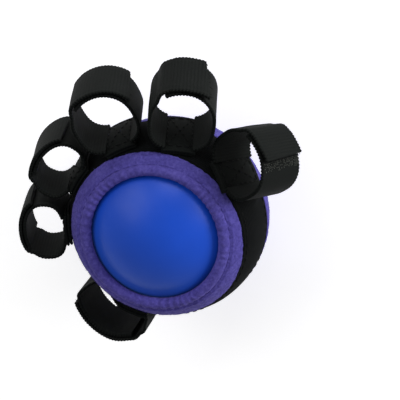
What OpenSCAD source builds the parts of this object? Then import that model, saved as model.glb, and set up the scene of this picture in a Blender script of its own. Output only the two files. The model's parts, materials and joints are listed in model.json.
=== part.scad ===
// Hand grip strengthener: a soft ball in a padded cloth cover, with a webbing
// belt round the cover and six hook-and-loop straps, one for each finger,
// one for the thumb and one for the thumb of the other hand.
//
// Millimetres. +Z is the axis of the cover's round opening, and the origin is
// the centre of the flat padded base that the whole thing rests on.
// Polar angles are measured at the ball's centre from +Z, azimuths from +X; those
// of the belt and the straps are measured about the belt's axis, which is tipped.

/* [Ball] */
// Diameter of the soft ball
ball_d = 62; // [56:1:68]

/* [Cover] */
// Running gap between the ball and the cover's lining
ball_gap = 0.3; // [0.2:0.05:0.6]
// Thickness of the foam lining
foam_t = 2.2; // [1.6:0.1:2.8]
// Thickness of the brushed outer cloth
cloth_t = 1.0; // [0.8:0.1:1.6]
// Clear diameter of the round opening
opening_d = 45; // [40:0.5:48]
// Thickness of the rolled binding round the opening
binding_d = 3.8; // [3.2:0.1:4.4]
// Thickness of the elastic cord inside the binding
elastic_d = 1.8; // [1.2:0.1:2.2]
// Diameter of the flat that the cover rests on
base_flat_d = 20; // [16:0.5:22]
// Diameter of the seam round the base panel
base_seam_d = 36; // [28:1:44]

/* [Belt] */
// Polar angle of the belt's front edge, about the belt's own axis
belt_front = 62; // [60:0.5:64]
// How far the belt's axis is tipped from the opening's, away from the index strap
belt_tilt = 5; // [0:0.5:6]
// Azimuth of the side on which the tipped belt comes nearest to the opening
belt_near = 21; // [0:1:40]
// Width of the belt, along the cover
belt_w = 18.5; // [17:0.5:21]
// Thickness of the belt webbing
belt_t = 1.2; // [0.9:0.1:1.6]

/* [Straps] */
// Width of each strap
strap_w = 19; // [16:0.5:20]
// Thickness of one layer of strap
strap_t = 1.2; // [0.9:0.1:1.5]
// Length of the stretch of strap that is sewn to the belt
root_len = 11.4; // [9:0.2:13]
// Gap between strap pieces that move against each other
strap_gap = 0.3; // [0.2:0.05:0.4]
// Height of a loop's underside above the belt, at its lowest point
loop_lift = 0.6; // [0.5:0.05:1]
// Height above the belt of the fold that a loop leans about
fold_height = 1.8; // [1.5:0.1:2.2]

/* [Finger loops] */
// Azimuth of the middle of the row of finger straps
finger_azimuth = 91.5; // [90:0.5:93]
// Angle between neighbouring finger straps round the belt
finger_pitch = 34.5; // [33:0.1:35.5]
// How much each finger strap is turned against its neighbour
finger_fan = 6; // [0:0.5:6]
// Turn of the whole row of finger straps towards the thumb
finger_turn = 6; // [0:0.5:8]
// Polar angle of the middle of the finger straps, about the belt's axis
finger_polar = 76.5; // [75:0.5:78]
// Inner width of the index and middle loops
long_finger_w = 20.25; // [20:0.25:22.5]
// Inner height of the middle loop
middle_h = 19.5; // [18:0.25:21]
// Inner height of the index loop
index_h = 21.5; // [19:0.25:22.5]
// Inner width of the ring and little loops
short_finger_w = 19.8; // [19:0.25:22]
// Inner height of the ring and little loops
short_finger_h = 13; // [12.5:0.25:16]
// Angle round the index loop at which its tail is cut off, 180 at the top
index_tail_cut = 128; // [124:1:150]
// Angle round the other finger loops at which their tails are cut off
finger_tail_cut = 112; // [108:1:150]

/* [Thumb loops] */
// Azimuth of the thumb strap
thumb_azimuth = 1; // [0:0.5:6]
// Azimuth of the spare strap, for the other hand's thumb
spare_azimuth = 213; // [208:0.5:216]
// Turn of the thumb strap about its own root
thumb_turn = -26; // [-32:1:-20]
// Polar angle of the middle of the thumb strap
thumb_polar = 75; // [74:0.5:77]
// Polar angle of the middle of the spare strap
spare_polar = 77; // [76:0.5:79]
// Lean of the empty spare loop, its front edge outwards
spare_lean = 10; // [4:0.5:13]
// Inner width of the thumb loop
thumb_w = 21.5; // [20.5:0.25:24]
// Inner height of the thumb loop
thumb_h = 18; // [17:0.25:20]
// Inner width of the empty, flattened spare loop
spare_w = 26; // [24:0.25:28]
// Inner height of the empty, flattened spare loop
spare_h = 8.5; // [8:0.25:12]
// How far the empty spare loop hangs to one side of its root
spare_slide = 4.5; // [0:0.25:4.5]
// Angle round the thumb loop at which its tail is cut off, 180 at the top
thumb_tail_cut = 164; // [112:1:170]
// Angle round the spare loop at which its tail is cut off
spare_tail_cut = 104; // [100:1:140]

/* [Hidden] */

// Seam gap between pieces that are sewn or glued face to face
seam_gap = 0.05;
$fn = 96;

// Cover radii, from the ball outwards
ball_r = ball_d / 2;
foam_in_r = ball_r + ball_gap;
foam_out_r = foam_in_r + foam_t;
cloth_in_r = foam_out_r + seam_gap;
cloth_out_r = cloth_in_r + cloth_t;
belt_in_r = cloth_out_r + seam_gap;
belt_out_r = belt_in_r + belt_t;
root_in_r = belt_out_r + seam_gap;

// The base is pressed flat at z = 0, and the foam over it is thinner
base_flat_r = base_flat_d / 2;
ball_z = sqrt(cloth_out_r * cloth_out_r - base_flat_r * base_flat_r);

// Rolled binding of the opening: a ring whose tube just clears the ball
binding_r = binding_d / 2;
rim_ring_r = opening_d / 2 + binding_r;
rim_r = foam_in_r + binding_r;
rim_h = sqrt(rim_r * rim_r - rim_ring_r * rim_ring_r);
rim_polar = asin(rim_ring_r / rim_r);

// Polar angles where the cloth panels meet
belt_back = belt_front + belt_w / (PI * belt_out_r) * 180;
front_seam = (belt_front + belt_back) / 2;
base_seam = 180 - asin(base_seam_d / 2 / cloth_out_r);

// Loop outline: angles run from the root over the side towards +X azimuths,
// 180 at the top, and on down the other side to 360
loop_base = strap_t + loop_lift;
root_half = root_len / 2 + strap_gap;
layer_step = strap_t + strap_gap;
pile_end = 214;
step_start = 233;
step_end = 218;
tail_fold = 200;
fold_slit = strap_gap;
outline_step = 6;

// One row for each strap: azimuth, polar angle, turn, lean, inner width, inner
// height, angle at which the hook tail is cut off, and how far it hangs to one side
INDEX = 0;
MIDDLE = 1;
RING = 2;
LITTLE = 3;
THUMB = 4;
SPARE = 5;
function finger(i, w, h, cut) = [
    finger_azimuth + finger_pitch * (i - 1.5), finger_polar,
    finger_turn - finger_fan * (i - 1.5), 0, w, h, cut, 0
];
STRAPS = [
    finger(INDEX, long_finger_w, index_h, index_tail_cut),
    finger(MIDDLE, long_finger_w, middle_h, finger_tail_cut),
    finger(RING, short_finger_w, short_finger_h, finger_tail_cut),
    finger(LITTLE, short_finger_w, short_finger_h, finger_tail_cut),
    [thumb_azimuth, thumb_polar, thumb_turn, 0, thumb_w, thumb_h, thumb_tail_cut, 0],
    [spare_azimuth, spare_polar, 0, spare_lean, spare_w, spare_h, spare_tail_cut, spare_slide]
];
function azimuth(s) = s[0];
function polar(s) = s[1];
function turn(s) = s[2];
function lean(s) = s[3];
function loop_w(s) = s[4];
function loop_h(s) = s[5];
function tail_cut(s) = s[6];
function slide(s) = s[7];

CLOTH = "#5a48a4";
WEBBING = "#1d1d20";
TAPE = "#26262a";

// ---- Loop outline in the plane across the strap: [round the belt, outwards]

// The lower half is squarer than the round top, as a strap leaves its seam, but
// less so on the empty loop
function squareness(s, a) = cos(a) < 0 ? 2.1 : lean(s) == 0 ? 3 : 2.5;
function power(v, p) = sign(v) * pow(abs(v), 2 / p);
function inner_point(s, a) = [
    -slide(s) - loop_w(s) / 2 * power(sin(a), squareness(s, a)),
    loop_base + loop_h(s) / 2 * (1 - power(cos(a), squareness(s, a)))
];
function unit(v) = v / norm(v);
function outward(s, a) =
    let (d = unit(inner_point(s, a + 1) - inner_point(s, a - 1))) [-d[1], d[0]];
function strap_point(s, a, off) = inner_point(s, a) + outward(s, a) * off;

// Angle from the root's middle at which the outline clears the root's end, on the
// side of the loop tape (+1) and on that of the hook tape (-1)
function root_angle(s, side) =
    asin(pow((root_half - side * slide(s)) / (loop_w(s) / 2), squareness(s, 0) / 2));

// The hook tape steps out over the end of the loop tape
function step_out(a) = layer_step * min(1, max(0, (step_start - a) / (step_start - step_end)));

function angles(a0, a1) =
    let (n = ceil(abs(a1 - a0) / outline_step)) [for (i = [0 : n]) a0 + (a1 - a0) * i / n];

// A strip of strap along the outline; stepped strips lie on the outer layer
module strip(s, a0, a1, stepped) {
    list = angles(a0, a1);
    inner = [for (a = list) strap_point(s, a, stepped ? step_out(a) : 0)];
    outer = [for (a = list) strap_point(s, a, strap_t + (stepped ? step_out(a) : 0))];
    last = len(list) - 1;
    polygon(concat(inner, [for (i = [last : -1 : 0]) outer[i]]));
}

// ---- Placing

// The belt's own frame about the ball's centre, tipped against the cover's axis
module on_belt() {
    translate([0, 0, ball_z])
        rotate([0, 0, belt_near])
            rotate([0, -belt_tilt, 0])
                rotate([0, 0, -belt_near])
                    children();
}

// Strap frame: Z outwards from the belt, Y round it, X towards the base
module at_root(s) {
    on_belt()
        rotate([0, polar(s), azimuth(s)])
            translate([0, 0, belt_out_r])
                rotate([0, 0, turn(s)])
                    children();
}

module leaned(s) {
    at_root(s)
        translate([0, 0, fold_height])
            rotate([0, lean(s), 0])
                translate([0, 0, -fold_height])
                    children();
}

module across_strap() {
    translate([-strap_w / 2, 0, 0])
        rotate([90, 0, 90])
            linear_extrude(strap_w)
                children();
}

// A body of revolution about the cover's axis, from a profile about the ball's centre
module revolved() {
    translate([0, 0, ball_z])
        rotate_extrude()
            children();
}

// Wedge of the profile plane between two polar angles
module wedge(p0, p1) {
    reach = 2 * belt_out_r;
    list = angles(p0, p1);
    polygon(concat([[0, 0]], [for (a = list) reach * [sin(a), cos(a)]]));
}

module shell_arc(r_in, r_out, p0, p1) {
    intersection() {
        difference() {
            circle(r_out);
            circle(r_in);
        }
        wedge(p0, p1);
    }
}

module rim_circle(r) {
    translate([rim_ring_r, rim_h])
        circle(r);
}

// ---- Ball and cover

module ball() {
    color("royalblue")
        translate([0, 0, ball_z])
            sphere(ball_r);
}

// What lies above the base, this far up from the surface it rests on
module above_base(up) {
    intersection() {
        children();
        translate([-2 * ball_z, up - ball_z])
            square(4 * ball_z);
    }
}

module foam_liner() {
    color("gainsboro")
        revolved()
            above_base(cloth_t + seam_gap)
                difference() {
                    shell_arc(foam_in_r, foam_out_r, rim_polar, 180);
                    rim_circle(binding_r + seam_gap);
                }
}

module cover_front_ring() {
    color(CLOTH)
        revolved()
            difference() {
                shell_arc(cloth_in_r, cloth_out_r, rim_polar, front_seam);
                rim_circle(binding_r + seam_gap);
            }
}

module cover_side_wall() {
    color(CLOTH)
        revolved()
            shell_arc(cloth_in_r, cloth_out_r, front_seam + 0.1, base_seam - 0.1);
}

module cover_base_pad() {
    color(CLOTH)
        revolved()
            intersection() {
                difference() {
                    above_base(0)
                        circle(cloth_out_r);
                    above_base(cloth_t)
                        circle(cloth_in_r);
                }
                wedge(base_seam, 180);
            }
}

module rim_binding() {
    color(CLOTH)
        revolved()
            difference() {
                rim_circle(binding_r);
                rim_circle(elastic_d / 2 + seam_gap);
            }
}

module rim_elastic() {
    color("whitesmoke")
        revolved()
            rim_circle(elastic_d / 2);
}

module belt() {
    edge_r = belt_t / 2;
    mid_r = belt_in_r + edge_r;
    color(WEBBING)
        on_belt()
            rotate_extrude() {
                shell_arc(belt_in_r, belt_out_r, belt_front, belt_back);
                for (p = [belt_front, belt_back])
                    translate(mid_r * [sin(p), cos(p)])
                        circle(edge_r);
            }
}

// ---- Straps

// The doubled middle of a strap, sewn down on the belt
module strap_root(s) {
    color(TAPE)
        at_root(s)
            intersection() {
                translate([0, 0, -belt_out_r])
                    difference() {
                        sphere(root_in_r + 2 * strap_t);
                        sphere(root_in_r);
                    }
                translate([-strap_w / 2, -root_len / 2, -belt_out_r / 2])
                    cube([strap_w, root_len, belt_out_r]);
            }
}

// Loop side of the strap: up from the root and over, under the hook side
module loop_tape(s) {
    color(TAPE)
        leaned(s)
            across_strap()
                strip(s, root_angle(s, 1), pile_end, false);
}

// Hook side of the strap, up to the fold of its tail
module hook_tape(s) {
    color(WEBBING)
        leaned(s)
            across_strap()
                strip(s, 360 - root_angle(s, -1), tail_fold, true);
}

// Free end of the hook side, pressed onto the loop side and peeled open
module hook_tail(s) {
    slit_angle = fold_slit / (loop_w(s) / 2) * 180 / PI;
    color(WEBBING)
        leaned(s)
            across_strap()
                strip(s, tail_fold - slit_angle, tail_cut(s), true);
}

ball();
foam_liner();
cover_front_ring();
cover_side_wall();
cover_base_pad();
rim_binding();
rim_elastic();
belt();
strap_root(STRAPS[INDEX]);  // index_strap_root
loop_tape(STRAPS[INDEX]);  // index_loop_tape
hook_tape(STRAPS[INDEX]);  // index_hook_tape
hook_tail(STRAPS[INDEX]);  // index_hook_tail
strap_root(STRAPS[MIDDLE]);  // middle_strap_root
loop_tape(STRAPS[MIDDLE]);  // middle_loop_tape
hook_tape(STRAPS[MIDDLE]);  // middle_hook_tape
hook_tail(STRAPS[MIDDLE]);  // middle_hook_tail
strap_root(STRAPS[RING]);  // ring_strap_root
loop_tape(STRAPS[RING]);  // ring_loop_tape
hook_tape(STRAPS[RING]);  // ring_hook_tape
hook_tail(STRAPS[RING]);  // ring_hook_tail
strap_root(STRAPS[LITTLE]);  // little_strap_root
loop_tape(STRAPS[LITTLE]);  // little_loop_tape
hook_tape(STRAPS[LITTLE]);  // little_hook_tape
hook_tail(STRAPS[LITTLE]);  // little_hook_tail
strap_root(STRAPS[THUMB]);  // thumb_strap_root
loop_tape(STRAPS[THUMB]);  // thumb_loop_tape
hook_tape(STRAPS[THUMB]);  // thumb_hook_tape
hook_tail(STRAPS[THUMB]);  // thumb_hook_tail
strap_root(STRAPS[SPARE]);  // spare_strap_root
loop_tape(STRAPS[SPARE]);  // spare_loop_tape
hook_tape(STRAPS[SPARE]);  // spare_hook_tape
hook_tail(STRAPS[SPARE]);  // spare_hook_tail
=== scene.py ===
import itertools
import json
import math

import bmesh
import bpy
import numpy as np
from mathutils import Matrix, Vector


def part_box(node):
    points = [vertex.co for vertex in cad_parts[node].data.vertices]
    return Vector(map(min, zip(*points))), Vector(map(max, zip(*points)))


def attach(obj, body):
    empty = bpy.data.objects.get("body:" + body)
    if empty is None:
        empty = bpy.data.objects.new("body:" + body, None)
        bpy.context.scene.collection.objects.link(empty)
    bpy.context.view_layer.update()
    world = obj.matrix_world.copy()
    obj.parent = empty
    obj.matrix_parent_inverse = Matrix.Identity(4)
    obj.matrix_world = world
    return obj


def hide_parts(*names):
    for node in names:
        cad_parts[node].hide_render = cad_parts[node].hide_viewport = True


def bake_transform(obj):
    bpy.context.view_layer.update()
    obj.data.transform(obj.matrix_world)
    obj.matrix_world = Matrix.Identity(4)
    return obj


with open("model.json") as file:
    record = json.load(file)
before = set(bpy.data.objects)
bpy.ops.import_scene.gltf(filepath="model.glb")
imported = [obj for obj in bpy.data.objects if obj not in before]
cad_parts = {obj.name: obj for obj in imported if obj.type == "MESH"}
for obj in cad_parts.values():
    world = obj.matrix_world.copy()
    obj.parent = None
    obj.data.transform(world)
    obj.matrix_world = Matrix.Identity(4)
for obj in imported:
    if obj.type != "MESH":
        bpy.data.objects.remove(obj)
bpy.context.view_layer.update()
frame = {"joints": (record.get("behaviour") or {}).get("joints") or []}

MM = 0.001

# ---- Sizes that the CAD part has too

SEAM_GAP = 0.05 * MM
STRAP_W = 19 * MM
HALF_W = STRAP_W / 2
STRAP_T = 1.2 * MM
STRAP_GAP = 0.3 * MM
LOOP_BASE = STRAP_T + 0.6 * MM
LAYER_STEP = STRAP_T + STRAP_GAP
FOLD_HEIGHT = 1.8 * MM
ROOT_LEN = 11.4 * MM
# Degrees round a loop: where its loop tape ends, where the hook tape's step out over it starts and
# ends, and where the tail folds
PILE_END = 214
STEP_START = 233
STEP_END = 218
TAIL_FOLD = 200

ball_low, ball_high = (np.array(corner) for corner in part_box("ball"))
CENTRE = (ball_low + ball_high) / 2
BALL_R = (ball_high[2] - ball_low[2]) / 2
FOAM_IN = BALL_R + 0.3 * MM
FOAM_OUT = FOAM_IN + 2.2 * MM
CLOTH_OUT = FOAM_OUT + SEAM_GAP + 1.0 * MM
BELT_IN = CLOTH_OUT + SEAM_GAP
BELT_OUT = BELT_IN + 1.2 * MM
ROOT_IN = BELT_OUT + SEAM_GAP
BELT_FRONT = 62
BELT_BACK = BELT_FRONT + math.degrees(18.5 * MM / BELT_OUT)
BELT_TILT = math.radians(5)
BELT_NEAR = math.radians(21)
BINDING_R = 1.9 * MM
OPENING_R = 22.5 * MM
RIM_RING_R = OPENING_R + BINDING_R
RIM_H = math.sqrt((FOAM_IN + BINDING_R) ** 2 - RIM_RING_R ** 2)
# Polar angles of the cover, in degrees: start of the front ring, seam under the belt, seam and
# flat of the base panel, and the lining's two ends
RING_START = 49.2
FRONT_SEAM = (BELT_FRONT + BELT_BACK) / 2
BASE_SEAM = 180 - math.degrees(math.asin(18 * MM / CLOTH_OUT))
FLAT_START = 162.5
LINING_START = 50.5
LINING_END = 165

# The belt is tight, and sinks this far into the padding
PRESSED = 0.35 * MM
# Depth of the base panel's seam
SEAM_DEPTH = 0.6 * MM
# Loose fibres of the brushed cloth, and the elastic cord inside the binding
FIBRE_R = 0.045 * MM
ELASTIC_R = 0.9 * MM

# Loops are superellipses: squareness of their lower and upper halves
LOW_SQUARE = 3.0
HIGH_SQUARE = 2.1

# Each strap: inner width and height of its loop, angle of its tail's cut (180 is the loop's top),
# how much the cut slants at either edge, how far the cut end stands off, and its loose threads.
# The index tail is cut 20 degrees sooner than in the CAD part
STRAPS = {
    "index": dict(w=20.25 * MM, h=21.5 * MM, cut=148, slant=-1.2 * MM, lift=0.6 * MM, frayed=16),
    "middle": dict(w=20.25 * MM, h=19.5 * MM, cut=112, slant=-0.8 * MM, lift=0.2 * MM, frayed=8),
    "ring": dict(w=19.8 * MM, h=13 * MM, cut=112, slant=0.6 * MM, lift=0.2 * MM, frayed=8),
    "little": dict(w=19.8 * MM, h=13 * MM, cut=112, slant=-0.5 * MM, lift=0.2 * MM, frayed=8),
    "thumb": dict(w=21.5 * MM, h=18 * MM, cut=164, slant=-0.6 * MM, lift=0.5 * MM, frayed=26),
    "spare": dict(w=26 * MM, h=8.5 * MM, cut=104, slant=0.3 * MM, lift=0.2 * MM, frayed=6),
}
# The empty spare loop leans its front edge out and hangs to one side of its root. Its inside runs
# through these places: degrees round the loop, then millimetres round the belt and out from it
SPARE_LEAN = math.radians(10)
SPARE_LINE = np.array([
    # Near half, which lies on the belt
    (0, -4.5, 1.80), (14, -6.2, 1.35), (28, -8.2, 0.15), (42, -10.5, -0.65), (54, -13.0, -1.50),
    (64, -15.3, -2.10), (73, -17.2, -1.90),
    # Limp fold at the end, where the tail stops
    (82, -18.7, -1.00), (90, -19.6, 0.00), (97, -19.5, 1.10), (104, -18.6, 2.40),
    # Outer half, and back to the root
    (115, -16.9, 4.70), (128, -13.7, 7.50), (142, -10.0, 9.40), (158, -6.4, 10.10),
    (178, -3.0, 9.80), (200, 0.1, 8.40), (218, 2.9, 6.80), (233, 4.8, 5.40), (262, 5.9, 3.90),
    (290, 5.5, 2.60), (320, 4.6, 1.95), (360, 0.0, 1.80),
])
# Degrees at which its two halves come out of the root
SPARE_ENDS = (0, 320)

# ---- Small mathematics


def unit(v):
    v = np.asarray(v, float)
    return v / np.linalg.norm(v, axis=-1, keepdims=True)


def ease(x):
    """0 to 1, level at both ends."""
    x = np.clip(x, 0, 1)
    return x * x * (3 - 2 * x)


def value_noise(points, seed=0):
    """Smooth noise from -1 to 1 at points given in wavelengths."""
    cell = np.floor(points)
    part = ease(points - cell)
    total = 0
    for corner in itertools.product((0, 1), repeat=3):
        at = cell + corner
        mixed = np.sin(at @ np.array([12.9898, 78.233, 37.719]) + 4.13 * seed) * 4375.85
        weight = np.prod(np.where(np.array(corner) == 1, part, 1 - part), axis=-1)
        total = total + weight * (mixed - np.floor(mixed))
    return total * 2 - 1


def rough(points, wavelength, octaves=3, seed=0):
    """Layered noise of about -1 to 1 over places in metres."""
    total, size = 0, 0
    for k in range(octaves):
        total = total + value_noise(points / wavelength * 2 ** k, seed + k) / 2 ** k
        size += 1 / 2 ** k
    return total / size


def dip(x, middle, width):
    """1 at the middle, falling off to 0 about a width away."""
    return np.exp(-((x - middle) / width) ** 2)


def through(rows, at):
    """A smooth curve through rows of [place, values...], read at several places."""
    place, values = rows[:, 0], rows[:, 1:]
    slope = np.gradient(values, place, axis=0)
    at = np.clip(at, place[0], place[-1])
    k = np.clip(np.searchsorted(place, at) - 1, 0, len(place) - 2)
    gap = (place[k + 1] - place[k])[:, None]
    t = (at - place[k])[:, None] / gap
    first = (1 + 2 * t) * (1 - t) ** 2 * values[k] + t * (1 - t) ** 2 * gap * slope[k]
    second = t ** 2 * (3 - 2 * t) * values[k + 1] + t ** 2 * (t - 1) * gap * slope[k + 1]
    return first + second


def turned(angle, axis):
    return np.array(Matrix.Rotation(angle, 3, axis))


# The belt's axis is tipped from the cover's, away from the azimuth BELT_NEAR
ON_BELT = turned(BELT_NEAR, "Z") @ turned(-BELT_TILT, "Y") @ turned(-BELT_NEAR, "Z")


def belt_polar(points):
    """Angle in degrees from the belt's axis, at the ball's centre."""
    return np.degrees(np.arccos(np.clip(unit(points) @ ON_BELT[:, 2], -1, 1)))


# ---- Materials


class Shader:
    """A Principled material and short ways to add procedural nodes to it."""

    def __init__(self, name, color, roughness, **sockets):
        self.material = bpy.data.materials.new(name)
        self.material.use_nodes = True
        self.tree = self.material.node_tree
        self.surface = self.tree.nodes["Principled BSDF"]
        self.surface.inputs["Base Color"].default_value = (*color, 1)
        self.surface.inputs["Roughness"].default_value = roughness
        for socket, value in sockets.items():
            self.surface.inputs[socket.replace("_", " ")].default_value = value

    def node(self, kind, links=None, **values):
        made = self.tree.nodes.new(kind)
        for key, value in values.items():
            setattr(made, key, value)
        for socket, source in (links or {}).items():
            if isinstance(source, bpy.types.NodeSocket):
                self.tree.links.new(source, made.inputs[socket])
            else:
                made.inputs[socket].default_value = source
        return made

    def places(self, scale=(1, 1, 1), weave=False):
        """Object coordinates, or the weave map's, stretched by scale."""
        if weave:
            source = self.node("ShaderNodeUVMap", uv_map="Weave").outputs["UV"]
        else:
            source = self.node("ShaderNodeTexCoord").outputs["Object"]
        links = {"Vector": source, "Scale": scale}
        return self.node("ShaderNodeMapping", links).outputs["Vector"]

    def noise(self, places, scale, detail=3.0, roughness=0.6):
        links = {"Vector": places, "Scale": scale, "Detail": detail, "Roughness": roughness}
        return self.node("ShaderNodeTexNoise", links).outputs["Fac"]

    def bands(self, places, scale, direction, distortion=0.0):
        links = {"Vector": places, "Scale": scale, "Distortion": distortion}
        made = self.node("ShaderNodeTexWave", links, wave_type="BANDS", bands_direction=direction)
        return made.outputs["Fac"]

    def maths(self, operation, a, b, c=0.0):
        return self.node("ShaderNodeMath", {0: a, 1: b, 2: c}, operation=operation).outputs[0]

    def spread(self, source, low, high, start=0.0, end=1.0):
        links = {"Value": source, "From Min": low, "From Max": high, "To Min": start, "To Max": end}
        return self.node("ShaderNodeMapRange", links).outputs["Result"]

    def ramp(self, source, stops):
        made = self.node("ShaderNodeValToRGB", {"Fac": source})
        points = made.color_ramp.elements
        while len(points) < len(stops):
            points.new(0.5)
        for point, (at, color) in zip(points, stops):
            point.position = at
            point.color = (*color, 1)
        return made.outputs["Color"]

    def set(self, socket, source):
        self.tree.links.new(source, self.surface.inputs[socket])

    def bump(self, height, distance, strength=1.0):
        links = {"Height": height, "Distance": distance, "Strength": strength}
        self.set("Normal", self.node("ShaderNodeBump", links).outputs["Normal"])
        return self.material


def ball_material():
    """Moulded soft rubber: even blue, faint clouding, fine orange-peel skin."""
    s = Shader("ball_rubber", (0.003, 0.066, 0.56), 0.38, Specular_IOR_Level=0.35,
               Sheen_Weight=0.35, Sheen_Roughness=0.5, Sheen_Tint=(0.18, 0.40, 1.0, 1))
    places = s.places()
    cloud = s.noise(places, 45, 2.0)
    s.set("Base Color", s.ramp(cloud, [(0.3, (0.002, 0.061, 0.53)), (0.7, (0.004, 0.071, 0.60))]))
    s.set("Roughness", s.spread(s.noise(places, 160, 3.0), 0.3, 0.7, 0.33, 0.43))
    skin = s.noise(places, 1500, 2.0)
    return s.bump(s.maths("ADD", skin, s.noise(places, 90, 1.0)), 0.05 * MM, 0.5)


def pile_material(name, dark, mid, light):
    """Brushed loop pile: mottled nap, brushed patches and a soft sheen."""
    s = Shader(name, mid, 0.92, Sheen_Weight=0.12, Sheen_Roughness=0.45,
               Sheen_Tint=(0.52, 0.42, 0.95, 1), Specular_IOR_Level=0.2)
    places = s.places()
    nap = s.noise(places, 900, 4.0, 0.65)
    patches = s.noise(places, 110, 2.0)
    tufts = s.maths("ADD", s.maths("MULTIPLY", nap, 0.72), s.maths("MULTIPLY", patches, 0.28))
    s.set("Base Color", s.ramp(tufts, [(0.34, dark), (0.5, mid), (0.66, light)]))
    fibres = s.noise(places, 3200, 3.0, 0.7)
    height = s.maths("ADD", s.maths("MULTIPLY", nap, 1.0), s.maths("MULTIPLY", fibres, 0.5))
    return s.bump(height, 0.24 * MM, 0.8)


def webbing_material():
    """Black belt webbing: close ribs round the belt, crossed by a fine weft."""
    s = Shader("belt_webbing", (0.005, 0.006, 0.006), 0.8, Specular_IOR_Level=0.03)
    places = s.places(weave=True)
    ribs = s.bands(places, 4.2, "X", 0.4)
    weft = s.bands(places, 5.5, "Y", 0.8)
    cloth = s.maths("MULTIPLY", ribs, s.maths("MULTIPLY_ADD", weft, 0.5, 0.5))
    worn = s.noise(s.places(), 130, 3.0)
    shade = s.maths("ADD", s.maths("MULTIPLY", cloth, 0.45), s.maths("MULTIPLY", worn, 0.5))
    dark, light = (0.0020, 0.0024, 0.0026), (0.0085, 0.0095, 0.0100)
    s.set("Base Color", s.ramp(shade, [(0.2, dark), (0.8, light)]))
    return s.bump(cloth, 0.12 * MM, 0.9)


def tape_material(name, rib, weft, contrast, fuzz, light):
    """Woven strap tape. Its weave map counts centimetres, across and along the strap."""
    s = Shader(name, (0.006, 0.007, 0.007), 0.72, Specular_IOR_Level=0.05)
    places = s.places(weave=True)
    ribs = s.bands(places, rib, "X", 1.4)
    picks = s.bands(places, weft, "Y", 2.0)
    cloth = s.maths("MULTIPLY", ribs, s.maths("MULTIPLY_ADD", picks, contrast, 1 - contrast))
    nap = s.noise(s.places((14, 10, 1), weave=True), 2.2, 4.0, 0.7)
    patches = s.noise(s.places(), 140, 2.0)
    worn = s.spread(patches, 0.35, 0.75, 0.2, 0.95)
    cloth = s.maths("MULTIPLY_ADD", s.maths("SUBTRACT", cloth, 0.5), worn, 0.5)
    shade = s.maths("ADD", s.maths("MULTIPLY", cloth, 1 - fuzz), s.maths("MULTIPLY", nap, fuzz))
    dark = (0.0018, 0.0022, 0.0022)
    s.set("Base Color", s.ramp(shade, [(0.1, dark), (0.45, (0.0060, 0.0072, 0.0068)), (0.85, light)]))
    return s.bump(shade, 0.10 * MM, 0.7)


def thread_material(name, color):
    """Twisted sewing thread."""
    s = Shader(name, color, 0.7, Specular_IOR_Level=0.1)
    twist = s.noise(s.places(), 2600, 2.0)
    light = tuple(min(1, 1.8 * c) for c in color)
    s.set("Base Color", s.ramp(twist, [(0.35, color), (0.7, light)]))
    return s.bump(twist, 0.08 * MM)


def foam_material():
    """Open-cell lining foam."""
    s = Shader("liner_foam", (0.33, 0.33, 0.35), 0.95)
    cells = s.node("ShaderNodeTexVoronoi", {"Vector": s.places(), "Scale": 900}).outputs["Distance"]
    s.set("Base Color", s.ramp(cells, [(0.1, (0.2, 0.2, 0.22)), (0.6, (0.4, 0.4, 0.42))]))
    return s.bump(cells, 0.2 * MM)


def elastic_material():
    """White covered elastic."""
    s = Shader("elastic_cord", (0.7, 0.7, 0.68), 0.8)
    cover = s.noise(s.places(), 1500, 2.0)
    s.set("Base Color", s.ramp(cover, [(0.3, (0.55, 0.55, 0.53)), (0.7, (0.78, 0.78, 0.76))]))
    return s.bump(cover, 0.1 * MM)


BALL = ball_material()
PILE = pile_material("cover_pile", (0.048, 0.039, 0.215), (0.074, 0.061, 0.310), (0.110, 0.092, 0.40))
WEBBING = webbing_material()
HOOK = tape_material("hook_tape", 6.9, 3.0, 0.45, 0.42, (0.022, 0.025, 0.023))
LOOP = tape_material("loop_tape", 5.0, 4.8, 0.30, 0.65, (0.013, 0.015, 0.014))
BLACK_THREAD = thread_material("black_thread", (0.0042, 0.0044, 0.0046))
# Pale grey thread for the thumb's tape loops: a painted highlight, light caught by the loops
GLINT_THREAD = thread_material("glint_thread", (0.085, 0.090, 0.080))
PURPLE_THREAD = thread_material("purple_thread", (0.038, 0.030, 0.175))
FOAM = foam_material()
ELASTIC = elastic_material()

# ---- Meshes


def grid_faces(rows, cols, close_rows=False, close_cols=False):
    """Quads over a grid of rows x cols vertices, closed round either way."""
    r = np.arange(rows if close_rows else rows - 1)[:, None]
    c = np.arange(cols if close_cols else cols - 1)[None, :]
    r1, c1 = (r + 1) % rows, (c + 1) % cols
    quads = [r * cols + c, r * cols + c1, r1 * cols + c1, r1 * cols + c]
    return np.stack([np.broadcast_to(q, quads[2].shape) for q in quads], -1).reshape(-1, 4)


def add_piece(name, points, faces, material, weave=None, sharp=None):
    """A smooth-shaded object. weave holds a weave-map place for each vertex."""
    mesh = bpy.data.meshes.new(name)
    mesh.from_pydata(np.asarray(points).reshape(-1, 3).tolist(), [], [list(f) for f in faces])
    if weave is not None:
        layer = mesh.uv_layers.new(name="Weave")
        corner = np.zeros(len(mesh.loops), int)
        mesh.loops.foreach_get("vertex_index", corner)
        layer.uv.foreach_set("vector", np.asarray(weave, np.float32).reshape(-1, 2)[corner].ravel())
    work = bmesh.new()
    work.from_mesh(mesh)
    bmesh.ops.recalc_face_normals(work, faces=work.faces)
    work.to_mesh(mesh)
    work.free()
    mesh.polygons.foreach_set("use_smooth", [True] * len(mesh.polygons))
    if sharp is not None:
        mesh.set_sharp_from_angle(angle=math.radians(sharp))
    mesh.materials.append(material)
    piece = bpy.data.objects.new(name, mesh)
    bpy.context.scene.collection.objects.link(piece)
    return piece


def finish_piece(piece, body, slot, *nodes, padded=None):
    """Rides and, where they are given, replaces nodes. slot and padded are not used."""
    if body is not None:
        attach(piece, body)
    if nodes:
        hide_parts(*nodes)
    return piece


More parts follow.
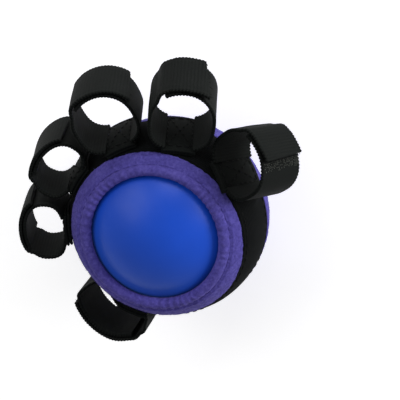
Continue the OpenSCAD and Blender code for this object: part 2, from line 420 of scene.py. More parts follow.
def joined(parts):
    """One list of vertices and one of faces from several meshes."""
    points, faces, count = [], [], 0
    for p, f in parts:
        p = np.asarray(p).reshape(-1, 3)
        points.append(p)
        faces += [[int(i) + count for i in face] for face in f]
        count += len(p)
    return np.concatenate(points), faces


def stitches(starts, ends, ups, radius=0.16 * MM, arch=0.10 * MM):
    """Short sewn stitches: round threads that come up, lie flat and go down again."""
    parts = []
    sides, rings = 6, 6
    turn = np.linspace(0, 2 * math.pi, sides, endpoint=False)
    for start, end, up in zip(starts, ends, ups):
        along = unit(end - start)
        across = np.cross(along, up)
        t = np.linspace(0, 1, rings)
        line = start + np.outer(t, end - start)
        line = line + np.outer(arch * (1 - (2 * t - 1) ** 4) - 0.25 * MM * np.abs(2 * t - 1) ** 6, up)
        thick = radius * np.where(np.abs(2 * t - 1) > 0.99, 0.55, 1)
        ring = np.cos(turn)[:, None] * across + np.sin(turn)[:, None] * up
        points = line[:, None] + ring[None] * thick[:, None, None]
        caps = [list(range(sides)), list(range((rings - 1) * sides, rings * sides))]
        parts.append((points, grid_faces(rings, sides, close_cols=True).tolist() + caps))
    return joined(parts)


# ---- The ball and its cover: bodies of revolution about the ball's centre


def polar_line(radius, start, stop, step=0.4):
    """Profile points [polar angle, radius] at a steady spacing in degrees."""
    count = max(2, round(abs(stop - start) / step) + 1)
    return np.stack([np.linspace(start, stop, count), np.full(count, radius)], 1)


def from_polar(profile):
    """[r, z] from [polar angle, radius]."""
    a = np.radians(profile[:, 0])
    return np.stack([profile[:, 1] * np.sin(a), profile[:, 1] * np.cos(a)], 1)


def revolve(profile, count):
    """Points [count, profile, 3] round the axis, and their azimuths."""
    turn = np.linspace(0, 2 * math.pi, count, endpoint=False)
    r, z = profile[:, 0], profile[:, 1]
    points = np.stack([
        np.outer(np.cos(turn), r),
        np.outer(np.sin(turn), r),
        np.broadcast_to(z, (count, len(z))),
    ], -1)
    return points, turn


def nap_relief(points, height=0.16 * MM):
    """Relief of brushed pile: small tufts on soft swells."""
    tufts = rough(points, 1.1 * MM, 2, seed=3)
    swells = rough(points, 9 * MM, 2, seed=8)
    return height * tufts + 0.22 * MM * swells


def make_ball():
    """Soft ball: faint mould line at its equator and slight unevenness of the skin."""
    count, mould_h = 256, 0.05 * MM
    profile = from_polar(polar_line(BALL_R - mould_h, 0.6, 179.4, 1.2))
    points, _ = revolve(profile, count)
    outward = unit(points)
    uneven = 0.10 * MM * rough(points, 16 * MM, 2, seed=21)
    mould_line = mould_h * dip(points[..., 2], 0, 0.35 * MM)
    points = points + outward * (uneven + mould_line)[..., None] + CENTRE
    cols = len(profile)
    faces = grid_faces(count, cols, close_rows=True).tolist()
    faces += [[i * cols for i in range(count)], [i * cols + cols - 1 for i in range(count)]]
    piece = add_piece("soft_ball", points, faces, BALL)
    return finish_piece(piece, "ball", "ball_rubber", "ball", padded=0.95)


def cover_shell(name, profile_line, inner_r, count, node, shape):
    """A padded panel. profile_line is its outside [polar, radius]; shape adds relief to it."""
    inner = polar_line(inner_r, profile_line[-1, 0] - 0.3, profile_line[0, 0] + 0.3, 2.0)
    profile = np.concatenate([profile_line, inner])
    points, turn = revolve(from_polar(profile), count)
    outside = np.arange(len(profile)) < len(profile_line)
    relief = nap_relief(points) + shape(points, profile[:, 0], turn[:, None])
    points = points + unit(points) * (relief * outside)[..., None]
    faces = grid_faces(count, len(profile), True, True)
    piece = add_piece(name, points + CENTRE, faces, PILE)
    finish_piece(piece, "root", "cover_pile", node, padded=0.75)
    return points[:, outside]


def pucker(angle, pitch):
    """Gathers along a seam, from -1 to 1, uneven round the cover."""
    wave = np.sin(angle * round(2 * math.pi / pitch) + 1.7 * np.sin(5 * angle))
    return wave * (0.6 + 0.4 * np.sin(3 * angle + 1))


def under_belt(belt_angle):
    """How far the tight belt presses the cloth in."""
    fade, play = 1.2, 0.12 * MM
    inside = ease((belt_angle - BELT_FRONT) / fade) * ease((BELT_BACK - belt_angle) / fade)
    return -(PRESSED + play) * inside


def ring_shape(points, polar, angle):
    """Front ring: it carries on the binding's roll past a sewn line, to a frayed edge at the belt."""
    belt_angle = belt_polar(points)
    fray = 0.45 * rough(points, 1.3 * MM, 2, seed=17) + 0.4 * rough(points, 6 * MM, 1, seed=4)
    height, roll_start, sewn_at, depth = 1.05 * MM, 48.0, 50.2, 0.22 * MM
    roll = height * ease((polar - roll_start) / 3.0)
    roll = roll * ease((BELT_FRONT - 0.2 + fray - belt_angle) / 1.1)
    sewn = (pucker(angle, 0.085) * 0.10 * MM - depth) * dip(polar, sewn_at, 0.55)
    return roll + sewn + under_belt(belt_angle)


def wall_shape(points, polar, angle):
    """Side wall: a roll behind the belt, and a puckered seam at the base panel."""
    belt_angle = belt_polar(points)
    fray = 0.5 * rough(points, 1.3 * MM, 2, seed=19)
    height, roll_end, fold = 1.0 * MM, 128, 0.15 * MM
    roll = height * ease((belt_angle + fray - BELT_BACK - 0.2) / 1.3) * ease((roll_end - polar) / 30)
    seam = (0.25 * MM * pucker(angle, 0.18) - SEAM_DEPTH) * dip(polar, BASE_SEAM, 1.8)
    folds = fold * pucker(angle, 0.21) * dip(belt_angle, BELT_BACK + 3, 3.0)
    return roll + seam + folds + under_belt(belt_angle)


def make_cover():
    """Front ring and side wall, which meet under the belt, with their loose fibres."""
    inner_r = FOAM_OUT + SEAM_GAP
    ring_line = polar_line(CLOTH_OUT, RING_START, FRONT_SEAM, 0.35)
    wall_line = polar_line(CLOTH_OUT, FRONT_SEAM + 0.1, BASE_SEAM - 0.4, 0.5)
    ring = cover_shell("cover_front_ring_cloth", ring_line, inner_r, count=720,
                       node="cover_front_ring", shape=ring_shape)
    wall = cover_shell("cover_side_wall_cloth", wall_line, inner_r, count=520,
                       node="cover_side_wall", shape=wall_shape)
    make_fuzz("cover_ring_fuzz", ring, 5200, lambda belt_angle: belt_angle < BELT_FRONT + 0.6)
    make_fuzz("cover_wall_fuzz", wall, 3000, lambda belt_angle: belt_angle > BELT_BACK - 0.4)


def make_fuzz(name, surface, count, keep):
    """Loose fibre ends that stand out of the brushed cloth: thin three-sided spikes."""
    rooted, stand, lie = 0.06 * MM, 0.75, 0.8
    rng = np.random.default_rng(5)
    row = rng.integers(0, surface.shape[0], count)
    col = rng.integers(0, surface.shape[1], count)
    root = surface[row, col]
    shown = keep(belt_polar(root))
    root = root[shown]
    outward = unit(root)
    tangent = unit(np.cross(outward, rng.normal(size=root.shape)))
    side = np.cross(outward, tangent)
    length = 0.35 * MM + 0.45 * MM * rng.random((len(root), 1)) ** 2
    tip = root + outward * length * stand + tangent * length * lie
    corners = [root - rooted * outward + FIBRE_R * (tangent * math.cos(a) + side * math.sin(a))
               for a in (0, 2.094, 4.189)]
    points = np.stack([*corners, tip], 1) + CENTRE
    quad = np.array([[0, 1, 3], [1, 2, 3], [2, 0, 3], [2, 1, 0]])
    faces = (np.arange(len(root)) * 4)[:, None, None] + quad
    piece = add_piece(name, points, faces.reshape(-1, 3), PILE)
    finish_piece(piece, "root", "cover_pile")


def make_base_panel():
    """Base panel, pressed flat where the whole thing rests: one closed form of revolution."""
    hub_r, thickness, count = 0.5 * MM, 0.9 * MM, 240
    rim = polar_line(CLOTH_OUT, BASE_SEAM + 0.4, FLAT_START, 0.6)
    rim[:, 1] -= SEAM_DEPTH * dip(rim[:, 0], BASE_SEAM, 1.4)
    rim = from_polar(rim)
    flat_r = np.linspace(rim[-1, 0], hub_r, 24)[1:]
    flat = np.stack([flat_r, np.full(len(flat_r), -CENTRE[2])], 1)
    top_r = np.linspace(hub_r, rim[0, 0] - 0.4 * MM, 14)
    top_z = -np.sqrt((CLOTH_OUT - 1 * MM) ** 2 - top_r ** 2)
    top = np.stack([top_r, np.maximum(top_z, -CENTRE[2] + thickness)], 1)
    profile = np.concatenate([rim, flat, top])
    points, turn = revolve(profile, count)
    index = np.arange(len(profile))
    gathers = np.sin(34 * turn[:, None] + 1.2 * np.sin(4 * turn[:, None])) * ease(1 - index / 8)
    relief = (nap_relief(points) + 0.22 * MM * gathers) * (index < len(rim))
    points = points + unit(points) * relief[..., None] + CENTRE
    points[..., 2] = np.maximum(points[..., 2], 0)
    faces = grid_faces(count, len(profile), True, True)
    piece = add_piece("cover_base_cloth", points, faces, PILE)
    return finish_piece(piece, "root", "cover_pile", "cover_base_pad", padded=0.6)


def make_binding():
    """Rolled binding of the opening, gathered by the elastic cord inside it."""
    sides, count = 34, 720
    section = np.linspace(0, 2 * math.pi, sides, endpoint=False)
    away = np.stack([np.cos(section), np.sin(section)], 1)
    profile = np.array([RIM_RING_R, RIM_H]) + BINDING_R * away
    points, turn = revolve(profile, count)
    ring = np.stack([np.cos(turn), np.sin(turn), 0 * turn], 1)
    core = ring[:, None] * RIM_RING_R + np.array([0, 0, RIM_H])
    outward = unit(points - core)
    ball_side = unit(-profile)
    facing = np.clip((away * ball_side).sum(1), 0, 1)
    angle = turn[:, None]
    folds, depth = 58, 0.16 * MM
    gather = np.sin(folds * angle + 1.8 * np.sin(7 * angle) + 0.5 * np.sin(section)[None])
    gather = gather * (0.55 + 0.45 * np.sin(3 * angle + 2)) * depth
    swell = 0.15 * MM * rough(points, 7 * MM, 2, seed=5) + 0.10 * MM
    tufts = 0.12 * MM * rough(points, 1.1 * MM, 2, seed=3)
    relief = (gather + swell + tufts) * (1 - 0.85 * facing)
    points = core + outward * (BINDING_R + relief)[..., None] + CENTRE
    faces = grid_faces(count, sides, True, True)
    piece = add_piece("rim_binding_roll", points, faces, PILE)
    return finish_piece(piece, "root", "cover_pile", "rim_binding", padded=0.85)


def make_lining():
    """The foam lining, between the cloth and the ball."""
    count = 144
    outer = polar_line(FOAM_OUT, LINING_START, LINING_END, 1.5)
    inner = polar_line(FOAM_IN, LINING_END, LINING_START, 1.5)
    profile = from_polar(np.concatenate([outer, inner]))
    profile[:, 1] = np.maximum(profile[:, 1], -CENTRE[2] + 1.1 * MM)
    points, _ = revolve(profile, count)
    points = points + 0.04 * MM * rough(points, 3 * MM, 2)[..., None] * unit(points) + CENTRE
    faces = grid_faces(count, len(profile), True, True)
    lining = add_piece("foam_lining", points, faces, FOAM)
    finish_piece(lining, "root", "liner_foam", "foam_liner", padded=0.9)


def make_elastic():
    """The covered elastic cord inside the binding."""
    sides, count = 12, 288
    section = np.linspace(0, 2 * math.pi, sides, endpoint=False)
    ring = ELASTIC_R * np.stack([np.cos(section), np.sin(section)], 1) + (RIM_RING_R, RIM_H)
    points, turn = revolve(ring, count)
    points = points * (1 + 0.0006 * np.sin(90 * turn))[:, None, None] + CENTRE
    faces = grid_faces(count, sides, True, True)
    cord = add_piece("rim_elastic_core", points, faces, ELASTIC)
    finish_piece(cord, "root", "elastic_cord", "rim_elastic")


def near_root(points):
    """1 under the sewn roots of the straps, where the belt isn't pressed in, 0 elsewhere."""
    reach, fade = 15 * MM, 3 * MM
    near = 0
    for name in STRAPS:
        pivot = next(np.array(j["pos_m"]) for j in frame["joints"] if j["name"] == name + "_lean")
        spot = unit(ON_BELT.T @ (pivot - CENTRE)) * BELT_OUT
        near = np.maximum(near, ease((reach - np.linalg.norm(points - spot, axis=-1)) / fade))
    return near


def make_belt():
    """Webbing belt: rounded edges, slightly slack, its front edge a little uneven."""
    count = 720
    groove_in, weave_round, weave_across = 1.6, 22, 1.85
    half_t = (BELT_OUT - BELT_IN) / 2
    middle = BELT_IN + half_t
    outer = polar_line(BELT_OUT, BELT_FRONT, BELT_BACK, 0.5)
    inner = polar_line(BELT_IN - PRESSED, BELT_BACK, BELT_FRONT, 1.5)

    def edge(polar, first, last):
        turn = np.radians(np.linspace(first, last, 6)[1:-1])
        shift = np.degrees(half_t / middle) * np.sin(turn)
        return np.stack([polar + shift, middle + half_t * np.cos(turn)], 1)

    profile = np.concatenate([outer, edge(BELT_BACK, 0, 180), inner, edge(BELT_FRONT, 180, 360)])
    points, turn = revolve(from_polar(profile), count)
    polar = profile[:, 0]
    places = points.copy()
    outside = profile[:, 1] > middle
    slack = 0.10 * MM * rough(points, 12 * MM, 2, seed=11)
    front_groove = dip(polar, BELT_FRONT + groove_in, 0.35)
    back_groove = dip(polar, BELT_BACK - groove_in, 0.35)
    groove = 0.10 * MM * (front_groove + back_groove)
    relief = (slack - groove) * outside
    sunk = PRESSED * (1 - near_root(points))
    points = points + unit(points) * (relief - sunk * outside)[..., None]
    bow = 0.22 * MM * rough(places, 10 * MM, 2, seed=13) * ease((BELT_BACK - polar) / 20)
    points[..., 2] += bow
    along = np.degrees(turn)[:, None] / 360 * weave_round + 0 * polar
    across = (polar - BELT_FRONT) / (BELT_BACK - BELT_FRONT) * weave_across + 0 * turn[:, None]
    weave = np.stack([across, along], -1)
    points = points @ ON_BELT.T + CENTRE
    faces = grid_faces(count, len(profile), True, True)
    piece = add_piece("belt_webbing", points, faces, WEBBING, weave)
    return finish_piece(piece, "root", "belt_webbing", "belt")


def ring_stitches(name, polar, radius, pitch, length, material, slot, axis_turn=None):
    """Running stitches round the axis, or round the belt's."""
    r = radius * math.sin(math.radians(polar))
    z = radius * math.cos(math.radians(polar))
    count = round(2 * math.pi * r / pitch)
    start = np.linspace(0, 2 * math.pi, count, endpoint=False)
    end = start + length / r
    axis_turn = np.eye(3) if axis_turn is None else axis_turn

    def at(angle):
        place = np.stack([r * np.cos(angle), r * np.sin(angle), z + 0 * angle], 1)
        return place @ axis_turn.T

    up = unit(at((start + end) / 2))
    points, faces = stitches(at(start) + CENTRE, at(end) + CENTRE, up)
    return finish_piece(add_piece(name, points, faces, material), "root", slot)


def make_edge_stitches():
    """Running stitches along both edges of the belt and round the base panel's seam."""
    length = 2.2 * MM
    belt_r, belt_in, belt_pitch = BELT_OUT - PRESSED, 2.6, 3.0 * MM
    seam_r, seam_in, seam_pitch = CLOTH_OUT + 0.05 * MM, 1.6, 3.2 * MM
    for edge, polar in (("front", BELT_FRONT + belt_in), ("back", BELT_BACK - belt_in)):
        ring_stitches("belt_" + edge + "_stitches", polar, belt_r, belt_pitch, length,
                      BLACK_THREAD, "belt_webbing", ON_BELT)
    ring_stitches("base_seam_stitches", BASE_SEAM - seam_in, seam_r, seam_pitch, length,
                  PURPLE_THREAD, "cover_pile")


# ---- Straps

# Columns of vertices across a tape, closer together towards its selvedges
SHARES = np.array([0, 0.14, 0.28, 0.42, 0.55, 0.67, 0.77, 0.85, 0.905, 0.945, 0.975, 0.992, 1.0])
COLUMNS = HALF_W * np.concatenate([-SHARES[:0:-1], SHARES])
EDGE_ROUND = 0.55 * MM
# Teeth of the woven selvedges, and how far in from the edge they start
TOOTH_PITCH = 1.05 * MM
TOOTH = 0.62 * MM
SELVEDGE = 1.3 * MM
ROW_STEP = TOOTH_PITCH / 4
# Length over which a cut end slants and lifts
CUT_END = 7 * MM
# The weave maps count centimetres
WEAVE_UNIT = 10 * MM
# Tapes are shaded flat across edges that turn by more than this many degrees
TAPE_SHARP = 60
# How far from the root's middle the two halves of a loop come out of it, and a length along the tail
# past its fold
TUCK = 4.6 * MM
FOLD_LEN = 3 * MM
# Stitches of the roots: distance from the selvedges and from the root's ends, and pitch
SEWN_IN_X = 2.2 * MM
SEWN_IN_E = 1.7 * MM
SEWN_PITCH = 2.3 * MM
# Each root tape is this much thinner on either side, so that its two layers stay apart
ROOT_PLAY = 0.02 * MM


class Strap:
    """One strap's frame (x across it towards the base, e round the belt, n outwards) and loop."""

    def __init__(self, name, w, h, cut, slant, lift, frayed):
        joints = {joint["name"]: joint for joint in frame["joints"]}
        self.name, self.w, self.h, self.cut = name, w, h, cut
        self.slant, self.lift, self.frayed = slant, lift, frayed
        self.empty = name == "spare"
        self.e = unit(joints[name + "_lean"]["axis"])
        self.x = -unit(joints[name + "_peel"]["axis"])
        self.n = np.cross(self.x, self.e)
        self.pivot = np.array(joints[name + "_lean"]["pos_m"])
        self.origin = self.pivot - self.n * FOLD_HEIGHT
        self.seed = 31 + 7 * list(STRAPS).index(name)

    def place(self, x, e, n):
        return self.origin + x[..., None] * self.x + e[..., None] * self.e + n[..., None] * self.n

    def inner_line(self, degrees):
        """The loop's inside: 0 at the root, 90 on the -e side, 180 on top."""
        if self.empty:
            return through(SPARE_LINE, degrees) * MM
        a = np.radians(degrees)
        square = np.where(np.cos(a) > 0, LOW_SQUARE, HIGH_SQUARE)

        def bend(v):
            return np.sign(v) * np.abs(v) ** (2 / square)

        e = -self.w / 2 * bend(np.sin(a))
        n = LOOP_BASE + self.h / 2 * (1 - bend(np.cos(a)))
        return np.stack([e, n], 1)

    def outward(self, degrees):
        d = unit(self.inner_line(degrees + 1) - self.inner_line(degrees - 1))
        return np.stack([-d[:, 1], d[:, 0]], 1)

    def tucked(self, reach):
        """Degrees at which the loop's two halves start, so far from the root's middle."""
        if self.empty:
            return SPARE_ENDS
        angle = math.degrees(math.asin((reach / (self.w / 2)) ** (LOW_SQUARE / 2)))
        return angle, 360 - angle


def step_out(degrees):
    """The hook tape steps out over the end of the loop tape."""
    return LAYER_STEP * np.clip((STEP_START - degrees) / (STEP_START - STEP_END), 0, 1)


class Track:
    """A strap's inner line by arc length, smoothed, with the normal that points outwards."""

    def __init__(self, strap, start, stop, stepped):
        samples, spacing, reach = 2400, 0.08 * MM, 8
        degrees = np.linspace(start, stop, samples)
        step = step_out(degrees) if stepped else 0 * degrees
        # 1 on the half of the loop next to the belt, 0 on the outer half
        near = ease(np.clip(np.cos(np.radians(degrees)), 0, 1) * 2.2)
        line = strap.inner_line(degrees) + strap.outward(degrees) * step[:, None]
        length = np.concatenate([[0], np.cumsum(np.linalg.norm(np.diff(line, axis=0), axis=1))])
        self.s = np.arange(0, length[-1] + spacing, spacing)
        self.near = np.interp(self.s, length, near)
        even = np.stack([np.interp(self.s, length, line[:, k]) for k in (0, 1)], 1)
        window = np.hanning(2 * reach + 1)
        kernel = window / window.sum()
        before = 2 * even[:1] - even[reach:0:-1]
        after = 2 * even[-1:] - even[-2:-2 - reach:-1]
        padded = np.concatenate([before, even, after])
        self.line = np.stack([np.convolve(padded[:, k], kernel, "valid") for k in (0, 1)], 1)
        heading = unit(np.gradient(self.line, axis=0))
        way = -1 if stop < start else 1
        self.normal = way * np.stack([-heading[:, 1], heading[:, 0]], 1)
        self.length = self.s[-1]

    def at(self, s):
        """Inner point and outward normal, [e, n] each, at arc lengths s, run on past both ends."""
        flat = s.ravel()

        def pick(table):
            return np.stack([np.interp(flat, self.s, table[:, k]) for k in (0, 1)], 1)

        point, normal = pick(self.line), pick(self.normal)
        over = np.clip(flat - self.length, 0, None) + np.clip(flat, None, 0)
        heading = unit(self.line[-1] - self.line[-4])
        point = point + over[:, None] * heading
        return point.reshape(*s.shape, 2), normal.reshape(*s.shape, 2)


def teeth(along):
    """Teeth along a selvedge, from -0.5 to 0.5."""
    return np.abs(np.sin(math.pi * along / TOOTH_PITCH)) - 0.5


def to_edge(place, half, width):
    """0 inside a tape, rising to 1 at its edge over the last width."""
    return np.clip((np.abs(place) - half + width) / width, 0, 1)


def both_sides(under, over):
    """One row round a tape's section: its underside, and back along its upper side."""
    return np.concatenate([under, over[:, ::-1]], 1)


def tape_faces(rows, cols):
    """Faces of a tape with so many rows round its section, closed at both ends."""
    both = 2 * cols
    faces = grid_faces(rows, both, close_cols=True)
    cap = np.array([[i, i + 1, both - 2 - i, both - 1 - i] for i in range(cols - 1)])
    return np.concatenate([faces, cap, cap + (rows - 1) * both])


def strip_piece(strap, track, slant=0.0, lift=0.0):
    """A length of strap: flat tape with rounded, toothed selvedges, following its track."""
    rows = max(8, round(track.length / ROW_STEP))
    s = np.linspace(0, track.length, rows)
    cols = len(COLUMNS)
    x = np.broadcast_to(COLUMNS, (rows, cols))
    share = np.abs(x) / HALF_W
    s = s[:, None] + slant * (x / HALF_W) * ease((s - track.length + CUT_END) / CUT_END)[:, None]
    uneven = 0.16 * MM * np.sin(s / (5.1 * MM) + strap.seed) + 0.10 * MM * np.sin(s / (2.3 * MM))
    wide = x + np.sign(x) * (TOOTH * teeth(s) + uneven) * to_edge(x, HALF_W, SELVEDGE)
    point, normal = track.at(s)
    e, n = point[..., 0], point[..., 1]
    places = np.stack([x, e, n], -1)
    slack = 0.30 * MM * rough(places, 13 * MM, 2, seed=strap.seed) * ease((n - 3 * MM) / (6 * MM))
    slack = slack + lift * ease((s - track.length + CUT_END) / CUT_END) ** 2
    half = STRAP_T / 2 * np.sqrt(1 - 0.9 * to_edge(x, HALF_W, EDGE_ROUND) ** 2)
    groove = 0.09 * MM * dip(share, 0.87, 0.025)
    cloth = 0.03 * MM * rough(places, 0.8 * MM, 1, seed=2)
    if strap.empty:
        # The near half leans and curves across like the belt under it, and lies nearer the base
        hug, shift, foot = 1.3, 2.0 * MM, 6 * MM
        near = np.interp(s, track.s, track.near)
        n = n + near * (math.tan(SPARE_LEAN) * x - hug * x ** 2 / (2 * BELT_OUT))
        wide = wide + shift * near * ease((np.abs(e) - foot) / foot)
    layers = []
    for side in (-1, 1):
        off = STRAP_T / 2 + slack + side * (half - groove + cloth)
        layers.append(strap.place(wide, e + normal[..., 0] * off, n + normal[..., 1] * off))
    weave = np.stack([both_sides(x, x), both_sides(s, s)], -1) / WEAVE_UNIT
    return both_sides(*layers), tape_faces(rows, cols), weave


def lay_tape(strap, track, ending, material, slot, node, slant=0.0, lift=0.0, start=0.0):
    """A length of a strap as a piece that stands for its node; start is the weave's first place."""
    points, faces, weave = strip_piece(strap, track, slant, lift)
    weave = weave + np.array([0, start / WEAVE_UNIT])
    piece = add_piece(strap.name + ending, points, faces, material, weave, TAPE_SHARP)
    return finish_piece(piece, None, slot, strap.name + node)


def make_strap(name, measures):
    """A strap's loop half, hook half and tail, its loose threads and its root."""
    strap = Strap(name, **measures)
    first, last = strap.tucked(TUCK)

    loop_track = Track(strap, first, PILE_END, False)
    piece = lay_tape(strap, loop_track, "_loop_side", LOOP, "loop_tape", "_loop_tape")
    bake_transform(piece)

    hook_track = Track(strap, last, TAIL_FOLD, True)
    piece = lay_tape(strap, hook_track, "_hook_side", HOOK, "hook_tape", "_hook_tape")
    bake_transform(piece)

    tail_track = Track(strap, TAIL_FOLD, strap.cut, True)
    piece = lay_tape(strap, tail_track, "_tail_end", HOOK, "hook_tape", "_hook_tail",
                     strap.slant, strap.lift, hook_track.length)
    fold, past = tail_track.at(np.array([0, FOLD_LEN]))[0]
    fold = strap.origin + fold[0] * strap.e + fold[1] * strap.n
    past = strap.origin + past[0] * strap.e + past[1] * strap.n
    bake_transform(piece)
    make_loose_threads(strap, tail_track)
    if name == "thumb":
        make_glint_loops(strap, loop_track)
    make_root(strap)


def make_glint_loops(strap, track):
    """Loops of the thumb's loop tape, in slanting rows below the cut end of the tail, coloured pale as
    a painted highlight of light caught by the loops.
    """
    rows, first_row, row_pitch = 7, 0.5, 0.45
    inset, pitch, stagger, jitter = 0.8 * MM, 0.62 * MM, 0.2 * MM, 0.05 * MM
    along, across, radius = 0.34 * MM, 0.2 * MM, 0.08 * MM
    rng = np.random.default_rng(44)
    cut = strap.inner_line(np.array([strap.cut - 1.0, strap.cut + 1.0])).mean(0)
    s_cut = track.s[np.argmin(np.linalg.norm(track.line - cut, axis=1))]
    starts, ends, ups = [], [], []
    for row in range(rows):
        for x in np.arange(-HALF_W + inset, HALF_W - inset, pitch):
            share = (x + HALF_W) / (2 * HALF_W)
            if rng.random() > 1.1 - 0.13 * row - 0.3 * (1 - share):
                continue
            s = s_cut - (first_row + row_pitch * row) * MM - strap.slant * x / HALF_W
            x = x + stagger * (row % 3) + jitter * rng.normal()
            point, normal = track.at(np.array([s, s - along]))
            spot = point + normal * (STRAP_T + 0.02 * MM)
            line = strap.place(np.array([x, x + across]), spot[:, 0], spot[:, 1])
            starts.append(line[0])
            ends.append(line[1])
            ups.append(normal[0, 0] * strap.e + normal[0, 1] * strap.n)
    points, faces = stitches(np.array(starts), np.array(ends), np.array(ups), radius, radius)
    # Pale stitches standing for the loops: painted highlight on the black loop tape
    piece = add_piece(strap.name + "_worn_loops", points, faces, GLINT_THREAD)
    finish_piece(piece, strap.name + "_loop", "loop_tape")


def make_loose_threads(strap, track):
    """Cut threads that stick out of the end of the hook tail."""
    start_in, radius, knots = 0.3 * MM, 0.085 * MM, 5
    rng = np.random.default_rng(strap.seed)
    count = strap.frayed
    x = (rng.random(count) * 1.9 - 0.95) * HALF_W
    s = track.length + strap.slant * x / HALF_W - start_in
    point, normal = track.at(s)
    lifted = point + normal * (STRAP_T * (0.3 + 0.6 * rng.random((count, 1))) + strap.lift)
    along = unit(track.line[-1] - track.line[-6])
    parts = []
    for k in range(count):
        reach = (0.6 + 1.5 * rng.random() ** 2) * MM
        sway = rng.normal(size=2) * 0.5
        t = np.linspace(0, 1, knots)
        e = lifted[k, 0] + along[0] * reach * t + normal[k, 0] * 0.35 * sway[1] * reach * t ** 2
        n = lifted[k, 1] + along[1] * reach * t + normal[k, 1] * 0.35 * sway[1] * reach * t ** 2
        line = strap.place(x[k] + 0.6 * sway[0] * reach * t ** 2, e, n)
        parts.append(thread_tube(line, strap.x, radius))
    points, faces = joined(parts)
    piece = add_piece(strap.name + "_loose_threads", points, faces, BLACK_THREAD)
    finish_piece(piece, strap.name + "_tail", "hook_tape")


def thread_tube(line, side, radius):
    """A thin closed tube along a line."""
    sides = 5
    turn = np.linspace(0, 2 * math.pi, sides, endpoint=False)
    heading = unit(np.gradient(line, axis=0))
    u = unit(np.cross(heading, np.cross(side, heading) + 1e-9))
    v = np.cross(heading, u)
    ring = np.cos(turn)[None, :, None] * u[:, None] + np.sin(turn)[None, :, None] * v[:, None]
    points = line[:, None] + radius * ring
    caps = [list(range(sides)), list(range((len(line) - 1) * sides, len(line) * sides))]
    return points, grid_faces(len(line), sides, close_cols=True).tolist() + caps


def on_belt(strap, x, e, radius):
    """Places over the belt, across the strap and along it."""
    outward = unit(strap.pivot - CENTRE)
    across = np.cross(strap.e, outward)
    direction = unit(outward * BELT_OUT + x[..., None] * across + e[..., None] * strap.e)
    return CENTRE + direction * radius[..., None]


def make_root(strap):
    """The sewn middle of a strap: two layers of tape on the belt's curve."""
    rows = np.linspace(-ROOT_LEN / 2, ROOT_LEN / 2, 45)
    x = np.broadcast_to(COLUMNS, (len(rows), len(COLUMNS)))
    e = np.broadcast_to(rows[:, None], x.shape)
    wide = x * 0.995 + np.sign(x) * 0.35 * TOOTH * teeth(e) * to_edge(x, HALF_W, SELVEDGE)
    past = np.maximum(to_edge(x, HALF_W, EDGE_ROUND), to_edge(e, ROOT_LEN / 2, EDGE_ROUND))
    half = (STRAP_T / 2 - ROOT_PLAY) * np.sqrt(1 - 0.9 * past ** 2)
    weave = np.stack([both_sides(x, x), both_sides(e, e)], -1).reshape(-1, 2) / WEAVE_UNIT
    parts = []
    for layer in (0, 1):
        middle = ROOT_IN + layer * STRAP_T + STRAP_T / 2
        pulled = 0.18 * MM * dip(np.abs(x), HALF_W - SEWN_IN_X, 0.5 * MM) * layer
        sides = [on_belt(strap, wide, e, middle + side * half - pulled) for side in (-1, 1)]
        parts.append((both_sides(*sides), tape_faces(*x.shape)))
    points, faces = joined(parts)
    weaves = np.concatenate([weave, weave])
    piece = add_piece(strap.name + "_root_tape", points, faces, LOOP, weaves, TAPE_SHARP)
    finish_piece(piece, "root", "loop_tape", strap.name + "_strap_root")
    sew_root(strap)


def sew_root(strap):
    """A boxed cross of stitches through the root."""
    box_x, box_e = HALF_W - SEWN_IN_X, ROOT_LEN / 2 - SEWN_IN_E
    corners = [(-box_x, -box_e), (box_x, -box_e), (box_x, box_e), (-box_x, box_e)]
    cross = [(corners[0], corners[2]), (corners[1], corners[3])]
    runs = [*zip(corners, corners[1:] + corners[:1]), *cross]
    starts, ends = [], []
    for a, b in runs:
        a, b = np.array(a), np.array(b)
        count = max(2, round(np.linalg.norm(b - a) / SEWN_PITCH))
        for k in range(count):
            starts.append(a + (b - a) * (k + 0.14) / count)
            ends.append(a + (b - a) * (k + 0.86) / count)
    starts, ends = np.array(starts), np.array(ends)
    top = np.full(len(starts), ROOT_IN + 2 * STRAP_T - ROOT_PLAY)
    first = on_belt(strap, starts[:, 0], starts[:, 1], top)
    last = on_belt(strap, ends[:, 0], ends[:, 1], top)
    points, faces = stitches(first, last, unit((first + last) / 2 - CENTRE), 0.17 * MM)
    thread = add_piece(strap.name + "_root_stitches", points, faces, BLACK_THREAD)
    finish_piece(thread, "root", "loop_tape")


# ---- Camera, floor and light

# The photograph's camera, in degrees and metres about the ball's centre
VIEW_BACK_AZIMUTH = 20.2
VIEW_TILT = 23.5
VIEW_UP_AZIMUTH = 51
VIEW_DISTANCE = 450 * MM
VIEW_SIDE = 10.75 * MM
VIEW_RISE = 5.4 * MM
VIEW_ANGLE = 18.1

# Lights: metres to the camera's right, up and towards it; width and height; watts
LIGHTS = {
    "key_light": ((0.86, 0.26, 0.52), (0.45, 0.45), 7.0),
    "fill_light": ((-0.65, 0.25, 0.6), (0.6, 0.6), 2.1),
    "top_light": ((0, 0.62, 0.75), (0.5, 0.3), 1.6),
}
ROOM_LIGHT = 0.32


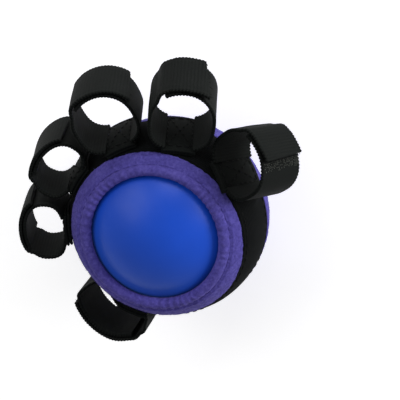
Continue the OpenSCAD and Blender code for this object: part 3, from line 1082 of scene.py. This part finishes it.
def make_camera():
    """The photograph's camera, and its three directions."""
    azimuth, tilt = math.radians(VIEW_BACK_AZIMUTH), math.radians(VIEW_TILT)
    level = math.sin(tilt)
    back = Vector((math.cos(azimuth) * level, math.sin(azimuth) * level, math.cos(tilt)))
    up_azimuth = math.radians(VIEW_UP_AZIMUTH)
    up = Vector((math.cos(up_azimuth), math.sin(up_azimuth), 0))
    up = (up - back * up.dot(back)).normalized()
    right = up.cross(back)
    data = bpy.data.cameras.new("camera")
    data.angle = math.radians(VIEW_ANGLE)
    data.clip_start, data.clip_end = 0.01, 10
    camera = bpy.data.objects.new("camera", data)
    bpy.context.scene.collection.objects.link(camera)
    place = Vector(CENTRE) + back * VIEW_DISTANCE + right * VIEW_SIDE + up * VIEW_RISE
    turn = Matrix((right, up, back)).transposed().to_4x4()
    camera.matrix_world = Matrix.Translation(place) @ turn
    bpy.context.scene.camera = camera
    return right, up, back


def make_floor():
    """A plain pale floor: one large flat disc."""
    radius, sides, below = 3, 64, 0.2 * MM
    s = Shader("floor_paper", (0.96, 0.96, 0.96), 0.9,
               Emission_Color=(1, 1, 1, 1), Emission_Strength=0.50)
    paper = s.noise(s.places(), 60, 2.0)
    s.set("Base Color", s.ramp(paper, [(0.3, (0.95, 0.95, 0.95)), (0.7, (0.97, 0.97, 0.97))]))
    turn = np.linspace(0, 2 * math.pi, sides, endpoint=False)
    points = np.stack([radius * np.cos(turn), radius * np.sin(turn), 0 * turn - below], 1)
    floor = add_piece("floor", points, [list(range(sides))], s.material)


def area_light(name, place, size, power):
    data = bpy.data.lights.new(name, "AREA")
    data.shape = "RECTANGLE"
    data.size, data.size_y = size
    data.energy = power
    light = bpy.data.objects.new(name, data)
    light.location = place
    light.rotation_euler = (Vector(CENTRE) - light.location).to_track_quat("-Z", "Y").to_euler()
    bpy.context.scene.collection.objects.link(light)


def make_light(right, up, back):
    """Soft studio light: key, fill and top lights in a pale room."""
    for name, (way, size, power) in LIGHTS.items():
        place = Vector(CENTRE) + right * way[0] + up * way[1] + back * way[2]
        area_light(name, place, size, power)
    world = bpy.data.worlds.new("studio")
    world.use_nodes = True
    world.node_tree.nodes["Background"].inputs["Color"].default_value = (1, 1, 1, 1)
    world.node_tree.nodes["Background"].inputs["Strength"].default_value = ROOM_LIGHT
    bpy.context.scene.world = world
    bpy.context.scene.view_settings.view_transform = "Standard"


# ---- Everything

right, up, back = make_camera()
make_ball()
make_cover()
make_base_panel()
make_binding()
make_lining()
make_elastic()
make_belt()
make_edge_stitches()
for name, measures in STRAPS.items():
    make_strap(name, measures)
make_floor()
make_light(right, up, back)
